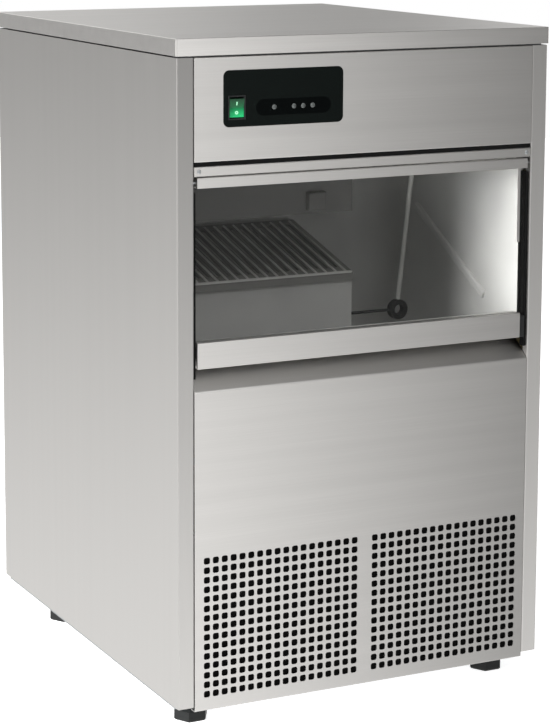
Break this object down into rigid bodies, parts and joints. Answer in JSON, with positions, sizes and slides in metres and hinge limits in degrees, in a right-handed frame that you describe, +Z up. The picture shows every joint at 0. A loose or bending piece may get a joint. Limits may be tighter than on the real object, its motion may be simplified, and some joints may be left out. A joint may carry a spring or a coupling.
{
  "type": "ice cube machine",
  "caption": "Under-counter ice cube machine: stainless cabinet, see-through flap door over the ice bin, display with rocker switch, square-hole grilles and levelling feet.",
  "frame": {"origin": "on the floor under the middle of the cabinet's plan", "axes": "+X to the machine's right as seen from the front, +Y to the back, +Z up; the front faces -Y"},
  "size_m": [0.5, 0.59, 0.822],
  "materials": {
    "brushed_stainless": "vertical brushed grain",
    "galvanised_steel": "dull zinc",
    "black_gloss": "gloss",
    "black_matte": "matt",
    "green_rocker": "translucent gloss",
    "grey_lens": "frosted",
    "circuit_board": "satin",
    "white_liner": "satin moulded",
    "cream_foam": "matt",
    "black_rubber": "matt",
    "tinned_copper": "tinned",
    "clear_pane": "clear",
    "black_paint": "semi-gloss paint",
    "condenser_fins": "mill finish",
    "aluminium_blade": "satin",
    "copper": "drawn copper"
  },
  "bodies": {
    "cabinet": {"base_pan": "galvanised_steel", "left_side_panel": "brushed_stainless", "right_side_panel": "brushed_stainless", "rear_panel": "galvanised_steel", "top_cover": "brushed_stainless", "top_front_rail": "galvanised_steel", "top_rear_rail": "galvanised_steel", "lower_front_panel": "brushed_stainless", "header_strip": "brushed_stainless", "control_fascia": "brushed_stainless", "display_plate": "black_gloss", "switch_bezel": "black_matte", "led_lenses": "grey_lens", "control_board": "circuit_board", "bin_liner": "white_liner", "bin_foam": "cream_foam", "door_seal": "black_rubber", "evaporator_shroud": "white_liner", "evaporator": "tinned_copper", "water_tank": "white_liner", "spray_bar": "white_liner", "ice_slide": "white_liner", "sensor_box": "white_liner", "probe_ring": "black_matte", "probe_rod": "galvanised_steel", "probe_tube": "white_liner", "hinge_pins": "galvanised_steel", "hinge_brackets": "galvanised_steel", "compressor": "black_paint", "compressor_grommets": "black_rubber", "condenser": "condenser_fins", "fan_shroud": "galvanised_steel", "fan_motor": "black_paint", "fan_bracket": "galvanised_steel", "filter_drier": "copper", "refrigerant_pipes": "copper", "water_pump": "black_matte", "electrical_box": "black_matte", "water_inlet_valve": "white_liner", "drain_pipe": "white_liner", "power_socket": "black_matte", "rear_screws": "galvanised_steel", "foot_nuts": "galvanised_steel"},
    "door": {"door_pane": "clear_pane", "door_top_rail": "brushed_stainless", "door_bottom_rail": "brushed_stainless", "door_end_block": "black_matte"},
    "rocker": {"switch_rocker": "green_rocker"},
    "fan": {"fan_blade": "aluminium_blade"},
    "front_left_foot": {"foot_front_left": "black_matte"},
    "front_right_foot": {"foot_front_right": "black_matte"},
    "rear_left_foot": {"foot_rear_left": "black_matte"},
    "rear_right_foot": {"foot_rear_right": "black_matte"}
  },
  "joints": [
    {"name": "door_hinge", "type": "hinge", "parent": "cabinet", "child": "door", "pos_m": [0, -0.2875, 0.6562], "axis": [-1, 0, 0], "range_deg": [0, 85]},
    {"name": "switch_tilt", "type": "hinge", "parent": "cabinet", "child": "rocker", "pos_m": [-0.173, -0.2876, 0.741], "axis": [-1, 0, 0], "range_deg": [0, 12]},
    {"name": "fan_spin", "type": "hinge", "parent": "cabinet", "child": "fan", "pos_m": [0.1, -0.2129, 0.1263], "axis": [0, 1, 0], "continuous": true},
    {"name": "front_left_screw", "type": "slide", "parent": "cabinet", "child": "front_left_foot", "axis": [0, 0, -1], "range_m": [0, 0.012]},
    {"name": "front_right_screw", "type": "slide", "parent": "cabinet", "child": "front_right_foot", "axis": [0, 0, -1], "range_m": [0, 0.012]},
    {"name": "rear_left_screw", "type": "slide", "parent": "cabinet", "child": "rear_left_foot", "axis": [0, 0, -1], "range_m": [0, 0.012]},
    {"name": "rear_right_screw", "type": "slide", "parent": "cabinet", "child": "rear_right_foot", "axis": [0, 0, -1], "range_m": [0, 0.012]}
  ]
}
